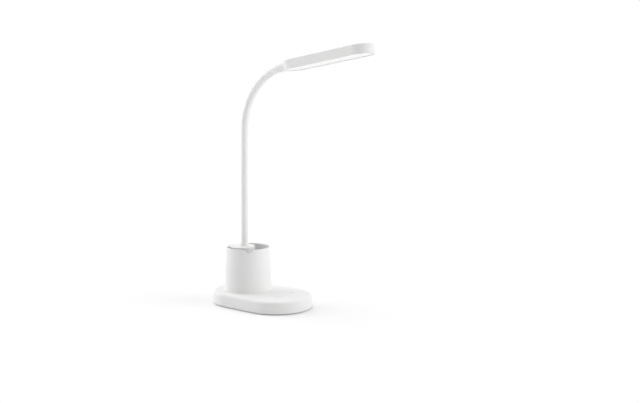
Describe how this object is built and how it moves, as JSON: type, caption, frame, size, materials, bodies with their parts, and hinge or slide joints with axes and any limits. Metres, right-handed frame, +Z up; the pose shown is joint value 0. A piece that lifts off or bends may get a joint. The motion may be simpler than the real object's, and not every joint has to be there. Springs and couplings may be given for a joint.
{
  "type": "desk lamp with pen cup",
  "caption": "White rechargeable LED desk lamp: slim round-ended head on a bendable gooseneck, on a flat oval base with a pen cup and touch controls.",
  "frame": {"origin": "on the desk, at the middle of the base", "axes": "+Z up; +X along the base, from the cup's end towards the end that the head reaches over; the lamp is built about the plane y = 0"},
  "size_m": [0.3062, 0.1122, 0.4135],
  "materials": {
    "white_plastic": "white, fine satin mould texture",
    "neck_white": "white flexible sleeve, satin",
    "foot_rubber": "matte light grey",
    "steel": "zinc-plated",
    "screw_steel": "nickel-plated",
    "socket_steel": "drawn, plain",
    "foam": "open-pored, matte",
    "battery_wrap": "silver film",
    "circuit_board": "green solder mask",
    "black_plastic": "moulded black",
    "lead_jacket": "white cable jacket",
    "light_board_aluminium": "white solder mask on aluminium",
    "phosphor": "yellow phosphor",
    "reflector_white": "white, glossy",
    "opal_diffuser": "opal white, lightly frosted"
  },
  "bodies": {
    "base": {"base_shell": "white_plastic", "base_floor": "white_plastic", "foot_pads": "foot_rubber", "ballast_plate": "steel", "battery_pad": "foam", "battery_cell": "battery_wrap", "battery_leads": "lead_jacket", "control_board": "circuit_board", "board_parts": "black_plastic", "board_screws": "screw_steel", "usb_c_socket": "socket_steel", "floor_screws": "screw_steel", "cup_screws": "screw_steel", "touch_foams": "foam", "pen_cup": "white_plastic", "tower": "white_plastic", "tower_cap": "white_plastic", "neck_collar": "white_plastic", "neck_stud": "steel", "neck_washer": "steel", "neck_nut": "steel", "lamp_lead": "lead_jacket", "neck_foot": "neck_white"},
    "link_01": {"neck_link_01": "neck_white"},
    "link_02": {"neck_link_02": "neck_white"},
    "link_03": {"neck_link_03": "neck_white"},
    "link_04": {"neck_link_04": "neck_white"},
    "link_05": {"neck_link_05": "neck_white"},
    "link_06": {"neck_link_06": "neck_white"},
    "link_07": {"neck_link_07": "neck_white"},
    "link_08": {"neck_link_08": "neck_white"},
    "link_09": {"neck_link_09": "neck_white"},
    "link_10": {"neck_link_10": "neck_white"},
    "head": {"neck_tip": "neck_white", "head_shell": "white_plastic", "light_board": "light_board_aluminium", "light_chips": "phosphor", "light_board_screws": "screw_steel", "reflector_tray": "reflector_white", "diffuser": "opal_diffuser", "head_ferrule": "white_plastic", "head_stud": "steel", "head_nut": "steel", "head_leads": "lead_jacket"}
  },
  "joints": [
    {"name": "lower_bend", "type": "hinge", "parent": "base", "child": "link_01", "pos_m": [-0.0389, 0, 0.117], "axis": [0, 1, 0], "range_deg": [-12, 12]},
    {"name": "side_bend", "type": "hinge", "parent": "link_01", "child": "link_02", "pos_m": [-0.0389, 0, 0.1444], "axis": [1, 0, 0], "range_deg": [-18, 18]},
    {"name": "lower_bend_2", "type": "hinge", "parent": "link_02", "child": "link_03", "pos_m": [-0.0389, 0, 0.1718], "axis": [0, 1, 0], "range_deg": [-12, 12]},
    {"name": "lower_bend_3", "type": "hinge", "parent": "link_03", "child": "link_04", "pos_m": [-0.0389, 0, 0.1992], "axis": [0, 1, 0], "range_deg": [-12, 12]},
    {"name": "side_bend_2", "type": "hinge", "parent": "link_04", "child": "link_05", "pos_m": [-0.0389, 0, 0.2266], "axis": [1, 0, 0], "range_deg": [-18, 18]},
    {"name": "lower_bend_4", "type": "hinge", "parent": "link_05", "child": "link_06", "pos_m": [-0.0389, 0, 0.254], "axis": [0, 1, 0], "range_deg": [-12, 12]},
    {"name": "upper_bend", "type": "hinge", "parent": "link_06", "child": "link_07", "pos_m": [-0.0389, 0, 0.2814], "axis": [0, 1, 0], "range_deg": [-20, 15]},
    {"name": "side_bend_3", "type": "hinge", "parent": "link_07", "child": "link_08", "pos_m": [-0.03533, 0, 0.30814], "axis": [0.965, 0, -0.2622], "range_deg": [-18, 18]},
    {"name": "upper_bend_2", "type": "hinge", "parent": "link_08", "child": "link_09", "pos_m": [-0.02488, 0, 0.33302], "axis": [0, 1, 0], "range_deg": [-20, 15]},
    {"name": "upper_bend_3", "type": "hinge", "parent": "link_09", "child": "link_10", "pos_m": [-0.00827, 0, 0.35428], "axis": [0, 1, 0], "range_deg": [-20, 15]},
    {"name": "upper_bend_4", "type": "hinge", "parent": "link_10", "child": "head", "pos_m": [0.01334, 0, 0.37044], "axis": [0, 1, 0], "range_deg": [-20, 15]}
  ],
  "couplings": [
    {"joint": "lower_bend_2", "follows": "lower_bend", "ratio": 1},
    {"joint": "lower_bend_3", "follows": "lower_bend", "ratio": 1},
    {"joint": "lower_bend_4", "follows": "lower_bend", "ratio": 1},
    {"joint": "upper_bend_2", "follows": "upper_bend", "ratio": 1},
    {"joint": "upper_bend_3", "follows": "upper_bend", "ratio": 1},
    {"joint": "upper_bend_4", "follows": "upper_bend", "ratio": 1},
    {"joint": "side_bend_2", "follows": "side_bend", "ratio": 1},
    {"joint": "side_bend_3", "follows": "side_bend", "ratio": 1}
  ]
}
